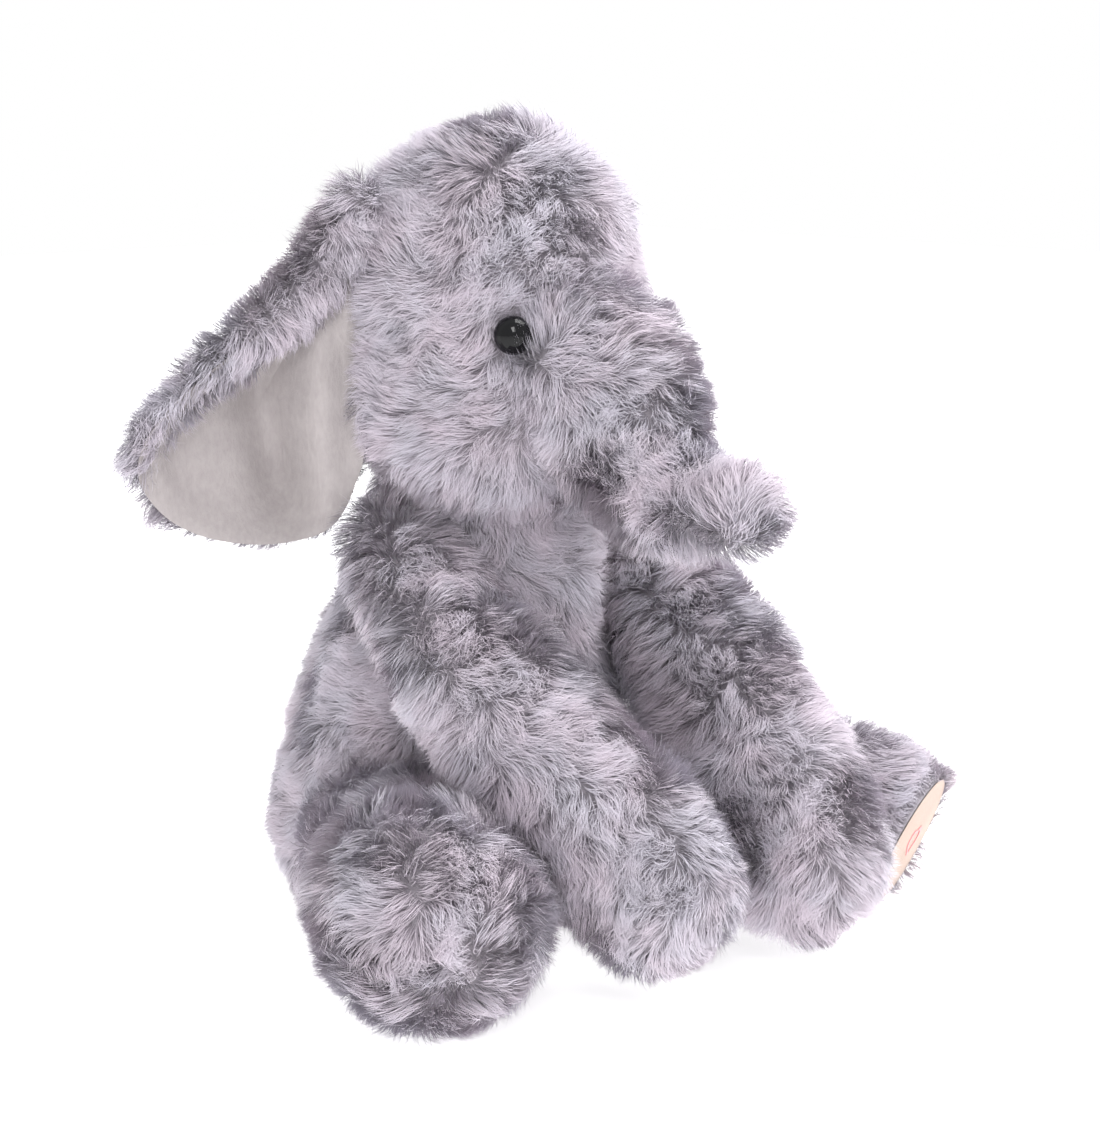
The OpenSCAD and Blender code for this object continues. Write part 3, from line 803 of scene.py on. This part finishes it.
def head_trim(p):
    """Shorter pile round the eyes and in the crease beside the trunk, and a long tuft by the far ear."""
    near = np.minimum(*[np.linalg.norm(p - e, axis=1) for e in eyes])
    start, end = np.array([0, -50.0, 192.0]), np.array([0, -94.0, 153.0])
    way = unit(end - start)
    crease = np.linalg.norm(np.cross(p - start, way), axis=1) - 25
    tuft = hump(np.linalg.norm(p - np.array([32.0, -49.0, 212.0]), axis=1), 8)
    by_eye, by_trunk = 0.45 + 0.55 * smooth(near, 7, 14), 0.5 + 0.5 * smooth(crease, -2, 9)
    return by_eye * by_trunk * (1 + 0.9 * tuft)


def head_flow(p, n):
    """Down and back over the cheeks, and away from each eye."""
    low = smooth(p[:, 2], 205, 165)
    v = np.stack([np.sign(p[:, 0]) * 0.35 * low, 0.45 + 0.25 * low, np.full(len(p), -0.75)], 1)
    for e in eyes:
        v += unit(p - e) * hump(np.linalg.norm(p - e, axis=1), 12)[:, None]
    return v


def past_sole(p):
    """How far points are in front of the middle of the sole."""
    return ((p - sole_mid) * sole_way).sum(1)


def near_sole(p):
    """From 0 along the leg to 1 at the sole."""
    return smooth(past_sole(p), -14, -2)


def behind_sole(p):
    """From 0 on the side of the sole's rim by the other foot to 1 on the outer side."""
    outer_side = unit(np.array([0.669, 0.717, -0.3]))
    return smooth(dot(unit(p - sole_mid), outer_side)[:, 0], -0.35, 0.35)


def left_leg_flow(p, n):
    """Along the leg, and at the sole brushed back on the inner side and over the rim on the outer."""
    rim = near_sole(p)[:, None]
    over = 1.5 * behind_sole(p)[:, None] - 0.5
    return np.array([0.626, -0.78, -0.15]) * (1 - rim) + sole_way * rim * over


def short_at_sole(p):
    """Shorter pile at the rim of the sole, most of all on its inner side."""
    return 1 - near_sole(p) * (0.55 - 0.5 * behind_sole(p))


def not_facing_floor(p, n):
    """Leaves out roots on the flat underside that rests on the floor."""
    return (p[:, 2] > 2.2) | (n[:, 2] > -0.5)


def off_the_sole(p, n):
    """Leaves out roots on the leg's flat end, which the sole covers, and on its underside."""
    return (past_sole(p) < -1.05) & not_facing_floor(p, n)


pile("torso_pile", "torso", torso_skin, toward((0, 0.05, -1)), seed=1, keep=not_facing_floor)
pile("neck_pile", "neck", neck_skin, toward((0, 0, -1)), seed=2, length=8, density=0.6)
pile("head_pile", "head", head_skin, head_flow, seed=3, trim=head_trim)
pile("trunk_base_pile", "trunk_base", base_skin, toward((0, -0.7, -0.7)), seed=4)
pile("trunk_tip_pile", "trunk_tip", tip_skin, toward((0, -1, 0.15)), seed=5, clump=6)
for seed, side in enumerate(("left", "right"), 6):
    pile(f"arm_{side}_pile", f"arm_{side}", arm_skins[side], toward((0, -0.72, -0.68)), seed=seed)
pile("leg_left_pile", "leg_left", leg_skins["left"], left_leg_flow, seed=8, trim=short_at_sole,
     keep=off_the_sole)
pile("leg_right_pile", "leg_right", leg_skins["right"], toward((-0.626, -0.78, -0.15)), seed=9,
     keep=not_facing_floor)
pile("tail_pile", "tail", tail_skin, toward((0, 0.4, -0.9)), seed=12, length=9, clump=5)


# ---- Sole, eyes and small parts ----


def repaint(node, material):
    """Gives a CAD node a new material, and leaves its shape alone."""
    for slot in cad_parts[node].material_slots:
        slot.link = "OBJECT"
        slot.material = material


# The sole: a slightly domed disc that reaches just past the skin's flat end.
PAD_RINGS, PAD_SIDES, PAD_R, PAD_DOME, PAD_BACK, PAD_FLOOR_GAP = 14, 64, 24.2, 0.8, 0.6, 0.4
across_sole = unit(np.cross(sole_way, UP))
up_sole = np.cross(across_sole, sole_way)
pad_points = []
for i in range(PAD_RINGS):
    r = PAD_R * (i + 1) / PAD_RINGS
    dome = PAD_DOME * (1 - (r / PAD_R) ** 2)
    for j in range(PAD_SIDES):
        a = 2 * math.pi * j / PAD_SIDES
        in_plane = across_sole * r * math.cos(a) + up_sole * r * math.sin(a)
        pad_points.append(sole_mid + in_plane + sole_way * (dome - PAD_BACK))
pad_points = np.array(pad_points)
pad_points[:, 2] = np.maximum(pad_points[:, 2], PAD_FLOOR_GAP)
pad_surface = (pad_points, grid_faces(PAD_RINGS, PAD_SIDES)[:, ::-1], [list(range(PAD_SIDES))])
pad = mesh_object("sole_pad", pad_surface, suede)
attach(pad, "leg_left")
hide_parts("leg_left_sole")

for node in ("eye_left", "eye_right"):
    repaint(node, eye_black)
repaint("sole_embroidery", thread)
repaint("closing_stitches", seam_thread)
repaint("care_label", tape)


# ---- Stage, light and camera, in metres ----

FLOOR_HALF = 3000  # millimetres, as for every mesh
CAMERA_TURN, CAMERA_RISE, CAMERA_DISTANCE = math.radians(-43), math.radians(11), 0.780
CAMERA_LENS = 79.6
AIM_RIGHT, AIM_UP = 0.0016, 0.0008
LIT_POINT = (0, -0.03, 0.12)


def area_light(name, place, width, power):
    """A square lamp that faces the middle of the animal."""
    data = bpy.data.lights.new(name, "AREA")
    data.shape = "SQUARE"
    data.size = width
    data.energy = power
    lamp = linked(name, data)
    lamp.location = place
    lamp.rotation_euler = (Vector(LIT_POINT) - Vector(place)).to_track_quat("-Z", "Y").to_euler()


floor_material, _, _, floor_shader = new_material("studio_floor")
floor_shader.inputs["Base Color"].default_value = (0.93, 0.93, 0.93, 1)
floor_shader.inputs["Roughness"].default_value = 0.9
floor_shader.inputs["Emission Color"].default_value = (1, 1, 1, 1)
floor_shader.inputs["Emission Strength"].default_value = 0.7
floor_corners = [(x * FLOOR_HALF, y * FLOOR_HALF, 0) for x, y in ((-1, -1), (1, -1), (1, 1), (-1, 1))]
floor = mesh_object("studio_floor", (floor_corners, [(0, 1, 2, 3)], ()), floor_material)

world = bpy.data.worlds.new("studio")
world.use_nodes = True
world.node_tree.nodes["Background"].inputs["Color"].default_value = (1, 1, 1, 1)
world.node_tree.nodes["Background"].inputs["Strength"].default_value = 1.0
bpy.context.scene.world = world

level = math.cos(CAMERA_RISE)
back = Vector((math.sin(CAMERA_TURN) * level, -math.cos(CAMERA_TURN) * level, math.sin(CAMERA_RISE)))
right = Vector((math.cos(CAMERA_TURN), math.sin(CAMERA_TURN), 0))
aim = Vector((0, -0.040, 0.122)) + right * AIM_RIGHT + back.cross(right) * AIM_UP
camera_data = bpy.data.cameras.new("photo_camera")
camera_data.sensor_fit = "HORIZONTAL"
camera_data.sensor_width = 36
camera_data.lens = CAMERA_LENS
camera = linked("photo_camera", camera_data)
camera.location = aim + back * CAMERA_DISTANCE
camera.rotation_euler = back.to_track_quat("Z", "Y").to_euler()
bpy.context.scene.camera = camera

area_light("key", (0.48, -0.5, 1.42), 1.0, 24.0)
area_light("glint", (-0.62, -0.78, 0.75), 0.24, 2.4)

bpy.context.scene.view_settings.view_transform = "Standard"
